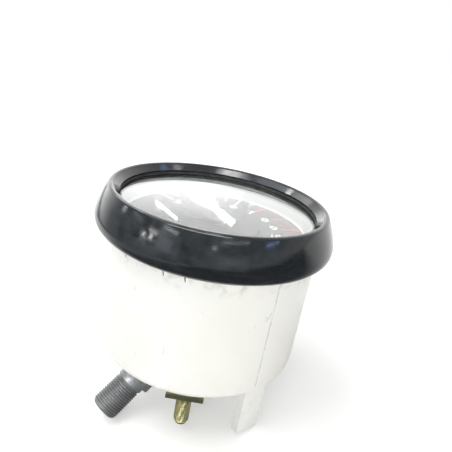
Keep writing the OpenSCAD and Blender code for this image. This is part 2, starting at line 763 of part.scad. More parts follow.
// White plastic case with its floor, ledge for the dial, screw pillars and feet
module case() {
    pillar_len = base_z - floor_top;
    boss_r = 2.2;
    boss_len = 4.5;
    shell = concat([[0, case_back], [case_r - case_corner_r, case_back]],
        arc(case_r - case_corner_r, case_back + case_corner_r, case_corner_r, -75, 0, 6),
        [[case_r, rim_z], [case_bore, rim_z], [case_bore, dial_bottom],
         [case_bore - ledge_w, dial_bottom], [case_bore - ledge_w, dial_bottom - ledge_h + ledge_w],
         [case_bore, dial_bottom - ledge_h]],
        [[case_bore, floor_top + case_corner_r - case_wall],
         [case_bore - case_corner_r + case_wall, floor_top], [0, floor_top]]);
    color("#f3f2ec") difference() {
        union() {
            rotate_extrude($fn = 180) difference() {
                polygon(shell);
                translate([bezel_bore, ring_seat_z]) circle(r = ring_wire_r + fit_gap, $fn = 24);
            }
            around(post_angles, post_pos) translate([0, 0, floor_top - 1])
                cylinder(r = arm_w / 2 - 0.5, h = pillar_len + 1, $fn = 48);
            around(housing_screw_angles, housing_screw_pos) translate([0, 0, floor_top - 1])
                cylinder(r = boss_r, h = boss_len + 1, $fn = 48);
            case_feet();
        }
        translate([0, 0, case_back - cut]) cylinder(r = chamber_r + 0.1, h = case_floor + 2 * cut);
        outlet_cutter(outlet_r + loose_gap);
        around(post_angles, post_pos) translate([0, 0, case_back - cut])
            cylinder(r = screw_r + fit_gap, h = pillar_len + case_floor + 2 * cut);
        around(housing_screw_angles, housing_screw_pos) translate([0, 0, case_back - cut])
            cylinder(r = screw_r, h = case_floor + boss_len - 1 + cut);
        around(lamp_angles, lamp_pos) translate([0, 0, case_back - cut])
            cylinder(r = lamp_plug_r, h = case_floor + 2 * cut);
        for (s = [-1, 1]) translate([0, s * stud_spacing / 2, case_back - cut]) {
            for (t = [-1, 1]) translate([0, t * plate_screw_pos, 0])
                cylinder(r = screw_r, h = case_floor + cut - 0.4);
        }
    }
}

// Feet round the case's back edge, almost flush with its wall
module case_feet() {
    root_h = max(case_corner_r - 1, 1.5);
    for (i = [0:foot_count - 1]) rotate([0, 0, foot_angle + i * 120]) intersection() {
        translate([case_r - foot_depth - loose_gap, -foot_w / 2, case_back - foot_h])
            cube([foot_depth, foot_w, foot_h + root_h]);
        translate([0, 0, case_back - foot_h]) cylinder(r = case_r - loose_gap, h = foot_h + root_h, $fn = 180);
    }
}

// Three long screws from the case's back into the base plate
module case_screws() {
    color("gray") around(post_angles, post_pos) translate([0, 0, case_back]) rotate([180, 0, 0])
        screw(screw_head_r, screw_head_h, screw_r, case_floor + base_lift + base_t, 0.6);
}

// Rubber lamp holders pushed into the case's floor
module lamp_holders() {
    plug_top = floor_top + lamp_plug_rise;
    color("#242426") around(lamp_angles, lamp_pos) difference() {
        union() {
            translate([0, 0, case_back - 1.5]) cylinder(r = lamp_flange_r, h = 1.5);
            translate([0, 0, case_back]) cylinder(r = lamp_plug_r, h = plug_top - case_back);
        }
        translate([0, 0, floor_top]) cylinder(r = lamp_cap_r, h = lamp_plug_rise + cut);
        for (s = [-1, 1]) translate([-terminal_w / 2, s * terminal_pos - terminal_t / 2, case_back - 4])
            cube([terminal_w, terminal_t, case_floor + 6]);
    }
}

// Two brass tabs at the back of each lamp holder
module lamp_terminals() {
    color("goldenrod") around(lamp_angles, lamp_pos) for (s = [-1, 1])
        translate([-terminal_w / 2, s * terminal_pos - terminal_t / 2, case_back - terminal_len])
        cube([terminal_w, terminal_t, case_floor + terminal_len]);
}

// Brass caps of the lamps
module lamp_caps() {
    color("goldenrod") around(lamp_angles, lamp_pos) translate([0, 0, floor_top])
        cylinder(r = lamp_cap_r, h = lamp_cap_h);
}

// Glass bulbs of the lamps
module lamp_bulbs() {
    color("#f2efdc", 0.5) around(lamp_angles, lamp_pos) translate([0, 0, floor_top + lamp_cap_h]) {
        cylinder(r = bulb_r, h = bulb_h - bulb_r);
        translate([0, 0, bulb_h - bulb_r]) intersection() {
            sphere(r = bulb_r, $fn = 48);
            translate([-bulb_r, -bulb_r, 0]) cube([2 * bulb_r, 2 * bulb_r, bulb_r]);
        }
    }
}

// Two yellow-plated plates that carry the mounting studs
module stud_plates() {
    color("#a99a55") for (s = [-1, 1]) translate([0, s * stud_spacing / 2, 0]) difference() {
        translate([-plate_w / 2, -plate_len / 2, 0]) cube([plate_w, plate_len, plate_t]);
        translate([0, 0, -cut]) cylinder(r = stud_head_r, h = plate_t + 2 * cut);
        for (t = [-1, 1]) translate([0, t * plate_screw_pos, 0]) {
            translate([0, 0, -cut]) cylinder(r = screw_r + fit_gap, h = plate_t + 2 * cut);
            translate([0, 0, -cut]) cylinder(r = screw_head_r + fit_gap, h = cut + sunk);
            translate([0, 0, sunk]) cylinder(r1 = screw_head_r + fit_gap, r2 = screw_r + fit_gap, h = sink_h);
        }
    }
}

// Two studs that the motorcycle's bracket slips over, with their heads clinched into the plates
module mounting_studs() {
    color("#a99a55") for (s = [-1, 1]) translate([0, s * stud_spacing / 2, 0]) {
        translate([0, 0, -stud_len]) cylinder(r = stud_r, h = stud_len + 0.5);
        cylinder(r = stud_head_r, h = plate_t);
    }
}

// Four countersunk screws that hold the stud plates to the case, just below the face that the bracket
// seats on
module plate_screws() {
    color("#a99a55") for (s = [-1, 1]) for (t = [-1, 1])
        translate([0, s * stud_spacing / 2 + t * plate_screw_pos, sunk]) difference() {
            union() {
                cylinder(r1 = screw_head_r, r2 = screw_r, h = sink_h, $fn = 48);
                cylinder(r = screw_r, h = plate_t + case_floor - 0.6 - sunk, $fn = 48);
            }
            translate([-screw_head_r - cut, -0.25, -cut]) cube([2 * (screw_head_r + cut), 0.5, cut + 0.5]);
        }
}

bezel_ring();
front_glass();
glass_gasket();
glass_seat();
bezel_retaining_ring();
reflector_ring();
dial_plate();
dial_screws();
dial_posts();
pointer_stops();
pointer();
pointer_cap();
pointer_spindle();
drag_cup();
hairspring_collet();
hairspring();
hairspring_stud();
top_plate();
top_bush();
frame_pillars();
pillar_screws();
base_plate();
spindle_bush();
field_ring();
magnet();
magnet_carrier();
drive_spindle();
pivot_jewel();
driven_gear();
drive_gear();
input_shaft();
shaft_bushes();
drive_housing();
housing_seal();
housing_screws();
threaded_nipple();
case();
case_screws();
lamp_holders();
lamp_terminals();
lamp_caps();
lamp_bulbs();
stud_plates();
mounting_studs();
plate_screws();
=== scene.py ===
# Motorcycle tachometer: printed dial, threads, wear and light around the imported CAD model
import math
import random

import bpy
from mathutils import Matrix, Vector


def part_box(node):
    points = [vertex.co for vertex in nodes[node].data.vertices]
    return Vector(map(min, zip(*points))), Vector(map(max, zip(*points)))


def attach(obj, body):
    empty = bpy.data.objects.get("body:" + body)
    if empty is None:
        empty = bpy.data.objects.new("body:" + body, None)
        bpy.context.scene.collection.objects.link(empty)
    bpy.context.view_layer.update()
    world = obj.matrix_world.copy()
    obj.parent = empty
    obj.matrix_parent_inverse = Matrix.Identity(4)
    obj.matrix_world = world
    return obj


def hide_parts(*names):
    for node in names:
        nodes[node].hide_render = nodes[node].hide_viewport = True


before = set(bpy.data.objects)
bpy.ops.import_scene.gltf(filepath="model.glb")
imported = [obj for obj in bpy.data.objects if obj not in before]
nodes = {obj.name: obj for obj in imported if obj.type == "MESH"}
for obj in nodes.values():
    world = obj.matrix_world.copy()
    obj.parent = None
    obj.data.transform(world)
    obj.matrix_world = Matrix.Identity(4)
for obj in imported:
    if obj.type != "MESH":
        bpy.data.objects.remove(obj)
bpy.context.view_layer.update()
MM = 0.001

# Places taken from the CAD, in metres
lip_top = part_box("bezel_ring")[1].z
bezel_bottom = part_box("bezel_ring")[0].z
dial_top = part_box("dial_plate")[1].z
glass_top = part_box("front_glass")[1].z
stud_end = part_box("mounting_studs")[0].z
stud_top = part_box("mounting_studs")[1].z

# Driving sizes of part.scad that a piece of the scene repeats, in millimetres
CASE_R = 42.0
STUD_SPACING = 62.0
STUD_R = 3.0
STUD_HEAD_R = 3.5
STUD_PITCH = 1.0
OUTLET_AZIMUTH = 220.0
OUTLET_TILT = 50.0
APEX_Z = 12.0
OUTLET_END = 38.0
COLLAR_END = 40.4
NIPPLE_END = 54.4
NIPPLE_R = 5.95
NIPPLE_ROOT_R = 5.35
NIPPLE_PITCH = 1.0
SPIGOT_R = 5.5
SPIGOT_LEN = 5.0
FERRULE_R = 4.0
FERRULE_DEPTH = 9.0
SOCKET_CLEAR_R = 3.7

# Camera: place and aim fitted to the ellipses of the bezel in the photograph
CAMERA_DIST = 0.17735
CAMERA_ELEVATION = 16.803
CAMERA_ROLL = 10.219
CAMERA_AIM_PX = (-4.837, -33.176)
CAMERA_CLIP = (0.01, 20.0)
SENSOR_MM = 36.0
FOCAL_PX = 450.0
PICTURE_PX = 452.0


def place_camera():
    """Puts the camera where the photograph was taken, aimed off the lip's centre by CAMERA_AIM_PX."""
    elevation, roll = math.radians(CAMERA_ELEVATION), math.radians(CAMERA_ROLL)
    target = Vector((0, 0, lip_top))
    back = Vector((0, -math.cos(elevation), math.sin(elevation)))
    right = Vector((1, 0, 0))
    down = (-back).cross(right)
    turned_right = right * math.cos(roll) - down * math.sin(roll)
    turned_down = right * math.sin(roll) + down * math.cos(roll)
    basis = Matrix((turned_right, turned_down, -back))
    aim = Vector((CAMERA_AIM_PX[0], CAMERA_AIM_PX[1], FOCAL_PX)).normalized()
    turn = Vector((0, 0, 1)).rotation_difference(aim).to_matrix()
    world_to_camera = turn @ basis
    x, y, z = world_to_camera[0], world_to_camera[1], world_to_camera[2]
    data = bpy.data.cameras.new("photo_camera")
    data.sensor_fit = "HORIZONTAL"
    data.sensor_width = SENSOR_MM
    data.lens = SENSOR_MM * FOCAL_PX / PICTURE_PX
    data.clip_start, data.clip_end = CAMERA_CLIP
    camera = bpy.data.objects.new("photo_camera", data)
    bpy.context.scene.collection.objects.link(camera)
    rotation = Matrix((x, -y, -z)).transposed()
    camera.matrix_world = Matrix.Translation(target + back * CAMERA_DIST) @ rotation.to_4x4()
    bpy.context.scene.camera = camera
    return target + back * CAMERA_DIST, rotation


eye, camera_turn = place_camera()
bpy.context.scene.view_settings.view_transform = "Standard"


# Node helpers

def principled(name, color, rough, metallic=0.0, specular=0.5):
    """A material with plain values, and its tree, shader and object coordinates."""
    made = bpy.data.materials.new(name)
    made.use_nodes = True
    tree = made.node_tree
    shader = tree.nodes["Principled BSDF"]
    shader.inputs["Base Color"].default_value = (*color, 1)
    shader.inputs["Roughness"].default_value = rough
    shader.inputs["Metallic"].default_value = metallic
    shader.inputs["Specular IOR Level"].default_value = specular
    coords = tree.nodes.new("ShaderNodeTexCoord")
    return made, tree, shader, coords.outputs["Object"]


def noise(tree, coords, scale, detail=3.0, distortion=0.0, stretch=None):
    """A noise texture's value; stretch squeezes the coordinates along each axis first."""
    if stretch:
        mapping = tree.nodes.new("ShaderNodeMapping")
        mapping.inputs["Scale"].default_value = stretch
        tree.links.new(coords, mapping.inputs["Vector"])
        coords = mapping.outputs["Vector"]
    texture = tree.nodes.new("ShaderNodeTexNoise")
    texture.inputs["Scale"].default_value = scale
    texture.inputs["Detail"].default_value = detail
    texture.inputs["Distortion"].default_value = distortion
    tree.links.new(coords, texture.inputs["Vector"])
    return texture.outputs["Fac"]


def spread(tree, value, low, high, to_low=0.0, to_high=1.0):
    """Maps value from low..high to to_low..to_high, clamped."""
    mapped = tree.nodes.new("ShaderNodeMapRange")
    for socket, number in zip(("From Min", "From Max", "To Min", "To Max"), (low, high, to_low, to_high)):
        mapped.inputs[socket].default_value = number
    tree.links.new(value, mapped.inputs["Value"])
    return mapped.outputs["Result"]


def math_node(tree, operation, a, b=None):
    """A Math node over sockets or numbers."""
    made = tree.nodes.new("ShaderNodeMath")
    made.operation = operation
    for socket, value in zip(made.inputs, (a, b)):
        if value is None:
            continue
        if isinstance(value, (int, float)):
            socket.default_value = value
        else:
            tree.links.new(value, socket)
    return made.outputs[0]


def times(tree, a, b):
    return math_node(tree, "MULTIPLY", a, b)


def plus(tree, a, b):
    return math_node(tree, "ADD", a, b)


def greater(tree, a, b):
    return math_node(tree, "MAXIMUM", a, b)


def rest_of(tree, value):
    """One less the value."""
    return math_node(tree, "SUBTRACT", 1.0, value)


def axes(tree, coords):
    """The X, Y and Z of coordinates."""
    split = tree.nodes.new("ShaderNodeSeparateXYZ")
    tree.links.new(coords, split.inputs["Vector"])
    return split.outputs["X"], split.outputs["Y"], split.outputs["Z"]


def blend_color(tree, amount, first, second):
    """Mixes two colours; each is a socket or a tuple."""
    made = tree.nodes.new("ShaderNodeMix")
    made.data_type = "RGBA"
    tree.links.new(amount, made.inputs["Factor"])
    for socket, value in ((made.inputs[6], first), (made.inputs[7], second)):
        if isinstance(value, tuple):
            socket.default_value = (*value, 1)
        else:
            tree.links.new(value, socket)
    return made.outputs[2]


def bump(tree, shader, height, distance, below=None):
    """Adds a bump of that height in metres to the shader, over another bump if below is given."""
    made = tree.nodes.new("ShaderNodeBump")
    made.inputs["Strength"].default_value = 1.0
    made.inputs["Distance"].default_value = distance
    tree.links.new(height, made.inputs["Height"])
    if below:
        tree.links.new(below, made.inputs["Normal"])
    tree.links.new(made.outputs["Normal"], shader.inputs["Normal"])
    return made.outputs["Normal"]


# Materials. The thresholds of a spread over a noise set how much of the surface the marks cover.
PATCH_EDGES = (0.4, 0.65)
SPECK_EDGES = (0.66, 0.74)
ROUGH_EDGES = (0.3, 0.7)
SPECK_FINENESS = 9
ROUGH_FINENESS = 2.3
LATHE_SHARE = 0.3


def worn(name, color, second, rough, rough_high, metallic=0.0, specular=0.5, blotch=180.0, grain=2500.0,
         grain_mm=0.01, lathe=None, speck=None):
    """A surface with blotches of a second colour, uneven roughness and a fine grain.
    lathe gives the pitch in metres of turning marks round Z, and speck a colour of small specks."""
    made, tree, shader, coords = principled(name, color, rough, metallic, specular)
    patches = spread(tree, noise(tree, coords, blotch, detail=5.0, distortion=0.4), *PATCH_EDGES)
    tint = blend_color(tree, patches, color, second)
    if speck:
        dots = spread(tree, noise(tree, coords, blotch * SPECK_FINENESS, detail=2.0), *SPECK_EDGES)
        tint = blend_color(tree, dots, tint, speck)
    tree.links.new(tint, shader.inputs["Base Color"])
    uneven = noise(tree, coords, blotch * ROUGH_FINENESS, detail=4.0)
    tree.links.new(spread(tree, uneven, *ROUGH_EDGES, rough, rough_high), shader.inputs["Roughness"])
    height = noise(tree, coords, grain, detail=2.0)
    if lathe:
        x, y, _ = axes(tree, coords)
        radius = math_node(tree, "SQRT", plus(tree, math_node(tree, "POWER", x, 2.0),
                                              math_node(tree, "POWER", y, 2.0)))
        turned = math_node(tree, "SINE", times(tree, radius, 2 * math.pi / lathe))
        height = plus(tree, height, times(tree, turned, LATHE_SHARE))
    bump(tree, shader, height, grain_mm * MM)
    return made


BEZEL_BLACK = (0.0105, 0.0122, 0.0142)
BEZEL_DUST = (0.05, 0.055, 0.062)
BEZEL_WAVE = 0.12 * MM
BEZEL_GRAIN = 0.0015 * MM


def bezel_material():
    """Glossy black moulding with faint waves, polish marks and dust."""
    made, tree, shader, coords = principled("black_moulding", BEZEL_BLACK, 0.12, specular=0.42)
    dust = spread(tree, noise(tree, coords, 330.0, detail=6.0, distortion=0.6), 0.5, 0.85, 0.0, 0.22)
    marks = noise(tree, coords, 60.0, detail=4.0, distortion=1.0, stretch=(1.0, 1.0, 6.0))
    haze = plus(tree, dust, spread(tree, marks, 0.45, 0.75, 0.0, 0.18))
    tree.links.new(blend_color(tree, haze, BEZEL_BLACK, BEZEL_DUST), shader.inputs["Base Color"])
    tree.links.new(spread(tree, haze, 0.0, 0.4, 0.1, 0.3), shader.inputs["Roughness"])
    waves = bump(tree, shader, noise(tree, coords, 85.0, detail=1.0), BEZEL_WAVE)
    bump(tree, shader, noise(tree, coords, 3200.0, detail=2.0), BEZEL_GRAIN, waves)
    return made


CASE_WHITE = (0.86, 0.86, 0.835)
CASE_AGED = (0.83, 0.82, 0.76)
# Colour of brown blots that darken the case just under the bezel and, weaker, near the back
DARK_BLOTS = (0.30, 0.27, 0.19)
SCUFF = (0.42, 0.38, 0.31)
# How far below the bezel the darker blots end and are full, and the heights above the back where they end and
# are full
BEZEL_BLOTS_END, BEZEL_BLOTS_FULL = 7 * MM, 0.5 * MM
BACK_BLOTS_END, BACK_BLOTS_FULL = 9 * MM, 3 * MM
BACK_BLOTS_SHARE = 0.22
BLOTS_STRENGTH = 0.42
CASE_WAVE = 0.08 * MM
CASE_GRAIN = 0.006 * MM


def case_material():
    """White plastic that has yellowed a little, darker in brown blots just under the bezel and a little near
    the back.
    """
    made, tree, shader, coords = principled("white_case", CASE_WHITE, 0.35, specular=0.45)
    shader.inputs["Subsurface Weight"].default_value = 0.08
    shader.inputs["Subsurface Radius"].default_value = (1.0, 0.9, 0.7)
    shader.inputs["Subsurface Scale"].default_value = 0.0015
    height = axes(tree, coords)[2]
    patches = spread(tree, noise(tree, coords, 26.0, detail=4.0, distortion=0.5), 0.42, 0.7)
    tint = blend_color(tree, patches, CASE_WHITE, CASE_AGED)
    # Brown blots, full just under the bezel and gone a few millimetres lower, with a weaker share near the
    # back
    near_bezel = spread(tree, height, bezel_bottom - BEZEL_BLOTS_END, bezel_bottom - BEZEL_BLOTS_FULL)
    near_back = spread(tree, height, BACK_BLOTS_END, BACK_BLOTS_FULL)
    edge = greater(tree, near_bezel, times(tree, near_back, BACK_BLOTS_SHARE))
    blots = spread(tree, noise(tree, coords, 240.0, detail=6.0, distortion=0.8), 0.5, 0.68)
    tint = blend_color(tree, times(tree, times(tree, edge, blots), BLOTS_STRENGTH), tint, DARK_BLOTS)
    scratched = noise(tree, coords, 420.0, detail=3.0, distortion=1.5, stretch=(1.0, 1.0, 0.25))
    tint = blend_color(tree, spread(tree, scratched, 0.69, 0.73, 0.0, 0.3), tint, SCUFF)
    tree.links.new(tint, shader.inputs["Base Color"])
    uneven = noise(tree, coords, 140.0, detail=4.0)
    tree.links.new(spread(tree, uneven, *ROUGH_EDGES, 0.28, 0.5), shader.inputs["Roughness"])
    waves = bump(tree, shader, noise(tree, coords, 110.0, detail=1.0), CASE_WAVE)
    bump(tree, shader, noise(tree, coords, 2200.0, detail=2.0), CASE_GRAIN, waves)
    return made


GLASS_TINT = (0.985, 1.0, 0.99)
GLASS_SHADOW = (0.93, 0.95, 0.94)
GLASS_IOR = 1.5


def glass_material():
    """Clear, faintly green glass that lets lamp light through, with a little dust."""
    made, tree, shader, coords = principled("clear_glass", GLASS_TINT, 0.015)
    shader.inputs["Transmission Weight"].default_value = 1.0
    shader.inputs["IOR"].default_value = GLASS_IOR
    dust = spread(tree, noise(tree, coords, 210.0, detail=4.0), 0.5, 0.8, 0.01, 0.07)
    tree.links.new(dust, shader.inputs["Roughness"])
    clear = tree.nodes.new("ShaderNodeBsdfTransparent")
    clear.inputs["Color"].default_value = (*GLASS_SHADOW, 1)
    rays = tree.nodes.new("ShaderNodeLightPath")
    mix = tree.nodes.new("ShaderNodeMixShader")
    tree.links.new(rays.outputs["Is Shadow Ray"], mix.inputs["Fac"])
    tree.links.new(shader.outputs["BSDF"], mix.inputs[1])
    tree.links.new(clear.outputs["BSDF"], mix.inputs[2])
    output = tree.nodes["Material Output"]
    tree.links.new(mix.outputs["Shader"], output.inputs["Surface"])
    return made


THREAD_STEEL = (0.21, 0.212, 0.215)
THREAD_PATCH = (0.25, 0.248, 0.245)
THREAD_CREST = (0.34, 0.34, 0.35)
THREAD_GRAIN = 0.01 * MM


def thread_material():
    """Dark phosphated steel with paler, worn crests."""
    made, tree, shader, coords = principled("dark_steel", THREAD_STEEL, 0.5, metallic=0.6)
    patches = spread(tree, noise(tree, coords, 260.0, detail=5.0, distortion=0.5), *PATCH_EDGES)
    tint = blend_color(tree, patches, THREAD_STEEL, THREAD_PATCH)
    shape = tree.nodes.new("ShaderNodeNewGeometry")
    crests = spread(tree, shape.outputs["Pointiness"], 0.51, 0.58, 0.0, 0.85)
    tree.links.new(blend_color(tree, crests, tint, THREAD_CREST), shader.inputs["Base Color"])
    uneven = noise(tree, coords, 500.0, detail=4.0)
    tree.links.new(spread(tree, uneven, *ROUGH_EDGES, 0.32, 0.55), shader.inputs["Roughness"])
    bump(tree, shader, noise(tree, coords, 2600.0, detail=2.0), THREAD_GRAIN)
    return made


# For each worn surface: its colour, the colour of its blotches, and its least and greatest roughness
mats = {
    "bezel": bezel_material(),
    "case": case_material(),
    "glass": glass_material(),
    "thread": thread_material(),
    "rubber": worn("black_rubber", (0.026, 0.026, 0.028), (0.046, 0.045, 0.043), 0.55, 0.8, specular=0.35,
                   speck=(0.09, 0.085, 0.08)),
    "spring": worn("spring_steel", (0.56, 0.55, 0.53), (0.42, 0.41, 0.39), 0.2, 0.4, metallic=1.0,
                   grain_mm=0.004),
    # The reflector ring's mid grey is partly its own colour and partly painted shade of its deep place under
    # the bezel
    "reflector": worn("white_reflector", (0.34, 0.345, 0.335), (0.32, 0.325, 0.31), 0.6, 0.8, blotch=60.0,
                      specular=0.1, grain_mm=0.006),
    "dial": worn("dial_enamel", (0.013, 0.0135, 0.0135), (0.022, 0.0225, 0.0215), 0.5, 0.7, blotch=120.0,
                 specular=0.35, grain_mm=0.006, speck=(0.035, 0.035, 0.034)),
    "blackened": worn("blackened_steel", (0.035, 0.035, 0.037), (0.07, 0.066, 0.06), 0.35, 0.55,
                      metallic=0.7),
    "zinc": worn("zinc_plate", (0.55, 0.55, 0.53), (0.40, 0.395, 0.37), 0.28, 0.48, metallic=1.0,
                 blotch=300.0, speck=(0.30, 0.27, 0.22)),
    "pointer": worn("pointer_paint", (0.02, 0.02, 0.021), (0.032, 0.031, 0.03), 0.4, 0.6, specular=0.35,
                    grain_mm=0.006),
    "aluminium": worn("spun_aluminium", (0.72, 0.725, 0.735), (0.62, 0.62, 0.62), 0.25, 0.4, metallic=1.0,
                      lathe=0.25 * MM),
    "brass": worn("turned_brass", (0.62, 0.44, 0.17), (0.47, 0.32, 0.13), 0.22, 0.42, metallic=1.0,
                  blotch=400.0),
    "ruby": worn("bearing_ruby", (0.42, 0.02, 0.05), (0.34, 0.015, 0.04), 0.08, 0.16, specular=0.7,
                 grain_mm=0.002),
    "iron": worn("soft_iron", (0.30, 0.30, 0.31), (0.22, 0.215, 0.21), 0.35, 0.55, metallic=1.0,
                 lathe=0.3 * MM, speck=(0.24, 0.15, 0.09)),
    "magnet": worn("sintered_magnet", (0.10, 0.10, 0.105), (0.07, 0.07, 0.07), 0.4, 0.65, metallic=0.8,
                   grain_mm=0.03),
    "die_cast": worn("die_casting", (0.30, 0.305, 0.31), (0.21, 0.212, 0.215), 0.45, 0.7, metallic=0.6,
                     blotch=240.0, grain=1500.0, grain_mm=0.05, speck=(0.24, 0.235, 0.22)),
    "bulb": worn("bulb_glass", (0.90, 0.89, 0.80), (0.84, 0.82, 0.70), 0.08, 0.15, blotch=90.0,
                 grain_mm=0.002),
    "yellow_zinc": worn("yellow_zinc", (0.50, 0.45, 0.22), (0.36, 0.37, 0.24), 0.3, 0.5, metallic=1.0,
                        blotch=260.0, speck=(0.24, 0.17, 0.09)),
    "seam": worn("case_seam", (0.56, 0.52, 0.51), (0.74, 0.71, 0.69), 0.5, 0.7, blotch=500.0, grain_mm=0.02),
    "gap": worn("case_gap", (0.035, 0.032, 0.028), (0.12, 0.11, 0.09), 0.7, 0.9, blotch=600.0, grain_mm=0.02),
}

# Printing inks of the dial: the colour and the colour of its blotches
INKS = {
    "white_print": ((0.86, 0.86, 0.83), (0.80, 0.80, 0.75)),
    "faded_print": ((0.52, 0.52, 0.49), (0.45, 0.45, 0.42)),
    "cream_print": ((0.66, 0.63, 0.50), (0.58, 0.55, 0.42)),
    "red_print": ((0.52, 0.035, 0.07), (0.44, 0.03, 0.055)),
    "faded_red": ((0.30, 0.03, 0.05), (0.24, 0.025, 0.04)),
}
for name, (color, second) in INKS.items():
    mats[name] = worn(name, color, second, 0.5, 0.65, blotch=300.0, specular=0.3, grain_mm=0.004)

# The material of each CAD node
finish = {
    "bezel_ring": "bezel", "front_glass": "glass", "glass_gasket": "rubber", "glass_seat": "rubber",
    "bezel_retaining_ring": "spring", "reflector_ring": "reflector", "dial_plate": "dial",
    "dial_screws": "blackened", "dial_posts": "zinc",
    "pointer_stops": "blackened", "pointer": "pointer", "pointer_cap": "pointer", "pointer_spindle": "spring",
    "drag_cup": "aluminium", "hairspring_collet": "brass", "hairspring": "brass", "hairspring_stud": "brass",
    "top_plate": "zinc", "top_bush": "brass", "frame_pillars": "spring", "pillar_screws": "zinc",
    "base_plate": "zinc", "spindle_bush": "brass", "field_ring": "iron", "magnet": "magnet",
    "magnet_carrier": "brass", "drive_spindle": "spring", "pivot_jewel": "ruby", "driven_gear": "brass",
    "drive_gear": "brass", "input_shaft": "spring", "shaft_bushes": "brass", "drive_housing": "die_cast",
    "housing_seal": "rubber", "housing_screws": "zinc", "threaded_nipple": "thread", "case": "case",
    "case_screws": "zinc", "lamp_holders": "rubber", "lamp_terminals": "brass", "lamp_caps": "brass",
    "lamp_bulbs": "bulb", "stud_plates": "yellow_zinc", "mounting_studs": "yellow_zinc",
    "plate_screws": "yellow_zinc",
}
for name, key in finish.items():
    mesh = nodes[name].data
    mesh.materials.clear()
    mesh.materials.append(mats[key])


# Pieces of the scene

def add_mesh(name, points, faces, material, body="instrument", slot=None, smooth=False):
    """A mesh piece from points in millimetres, riding on a body."""
    mesh = bpy.data.meshes.new(name)
    mesh.from_pydata([Vector(p) * MM for p in points], [], faces)
    mesh.validate()
    mesh.update()
    mesh.materials.append(mats[material])
    if smooth:
        mesh.shade_smooth()
    made = bpy.data.objects.new(name, mesh)
    bpy.context.scene.collection.objects.link(made)
    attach(made, body)
    return made


def joined(parts):
    """One list of points and one of faces from several pairs of them."""
    points, faces = [], []
    for part_points, part_faces in parts:
        faces += [tuple(i + len(points) for i in face) for face in part_faces]
        points += part_points
    return points, faces


def grid_faces(rows, columns):
    """Quads of a grid of points whose columns run round."""
    return [(r * columns + c, r * columns + (c + 1) % columns, (r + 1) * columns + (c + 1) % columns,
             (r + 1) * columns + c) for r in range(rows - 1) for c in range(columns)]


def ring_rows(profile, columns):
    """Rings of points round Z, one for each pair of radius and height."""
    turns = [2 * math.pi * c / columns for c in range(columns)]
    return [[(radius * math.cos(turn), radius * math.sin(turn), z) for turn in turns]
            for radius, z in profile]


# Form of a thread: how steep its flanks are, how wide its root is, and over how much of a pitch it ends
FLANK_STEEPNESS = 1.6
ROOT_SHARE = 0.3
FADE_SHARE = 0.7
SHARP_ANGLE = 38.0


def thread_rows(start, end, root, crest, pitch, steps, columns):
    """Rows of points of an outer thread round Z; its ends fade into the root."""
    rows = []
    for r in range(steps + 1):
        z = start + (end - start) * r / steps
        fade = min(1.0, (z - start) / pitch, (end - z) / (FADE_SHARE * pitch))
        row = []
        for c in range(columns):
            turn = c / columns
            phase = (z / pitch - turn) % 1.0
            rise = max(0.0, min(1.0, (1.0 - 2 * abs(phase - 0.5)) * FLANK_STEEPNESS - ROOT_SHARE))
            radius = root + (crest - root) * rise * max(0.0, fade)
            row.append((radius * math.cos(2 * math.pi * turn), radius * math.sin(2 * math.pi * turn), z))
        rows.append(row)
    return rows


def lathed(name, rows, places, material, slot, replaces):
    """Bodies of the same rings at each of the places, which are matrices in millimetres."""
    faces = grid_faces(len(rows), len(rows[0]))
    points, faces = joined([([place @ Vector(p) for row in rows for p in row], faces) for place in places])
    made = add_mesh(name, points, faces, material, slot=slot, smooth=True)
    made.data.set_sharp_from_angle(angle=math.radians(SHARP_ANGLE))
    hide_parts(replaces)
    return made


# Threaded nipple with a helical thread, on the slanting outlet. Each edge's pairs tell how far it is drawn
# in from the radius and from the end, in millimetres.
NIPPLE_COLUMNS = 96
NIPPLE_STEPS = 168
COLLAR_R = NIPPLE_R + 0.05
COLLAR_CHAMFER = 0.15
COLLAR_EDGE = ((0.0, 0.35), (0.2, 0.12))
THREAD_GAP = 0.2
NIPPLE_EDGE = (0.3, 0.35)
BORE_CHAMFER = 0.25
outlet = (Matrix.Translation((0, 0, APEX_Z)) @ Matrix.Rotation(math.radians(OUTLET_AZIMUTH), 4, "Z")
          @ Matrix.Rotation(math.radians(180 - OUTLET_TILT), 4, "Y"))
spigot_start = OUTLET_END - SPIGOT_LEN
bore_end = NIPPLE_END - FERRULE_DEPTH
before_thread = [(SOCKET_CLEAR_R, spigot_start), (SPIGOT_R, spigot_start), (SPIGOT_R, OUTLET_END),
                 (COLLAR_R - COLLAR_CHAMFER, OUTLET_END), (COLLAR_R, OUTLET_END + COLLAR_CHAMFER)]
before_thread += [(COLLAR_R - inward, COLLAR_END - short) for inward, short in COLLAR_EDGE]
before_thread += [(NIPPLE_ROOT_R, COLLAR_END)]
after_thread = [(NIPPLE_ROOT_R - NIPPLE_EDGE[0], NIPPLE_END), (FERRULE_R + BORE_CHAMFER, NIPPLE_END),
                (FERRULE_R, NIPPLE_END - BORE_CHAMFER), (FERRULE_R, bore_end), (SOCKET_CLEAR_R, bore_end),
                (SOCKET_CLEAR_R, spigot_start)]
nipple_rows = ring_rows(before_thread, NIPPLE_COLUMNS)
nipple_rows += thread_rows(COLLAR_END + THREAD_GAP, NIPPLE_END - NIPPLE_EDGE[1], NIPPLE_ROOT_R, NIPPLE_R,
                           NIPPLE_PITCH, NIPPLE_STEPS, NIPPLE_COLUMNS)
nipple_rows += ring_rows(after_thread, NIPPLE_COLUMNS)
lathed("nipple_thread", nipple_rows, [outlet], "thread", "dark_steel", "threaded_nipple")

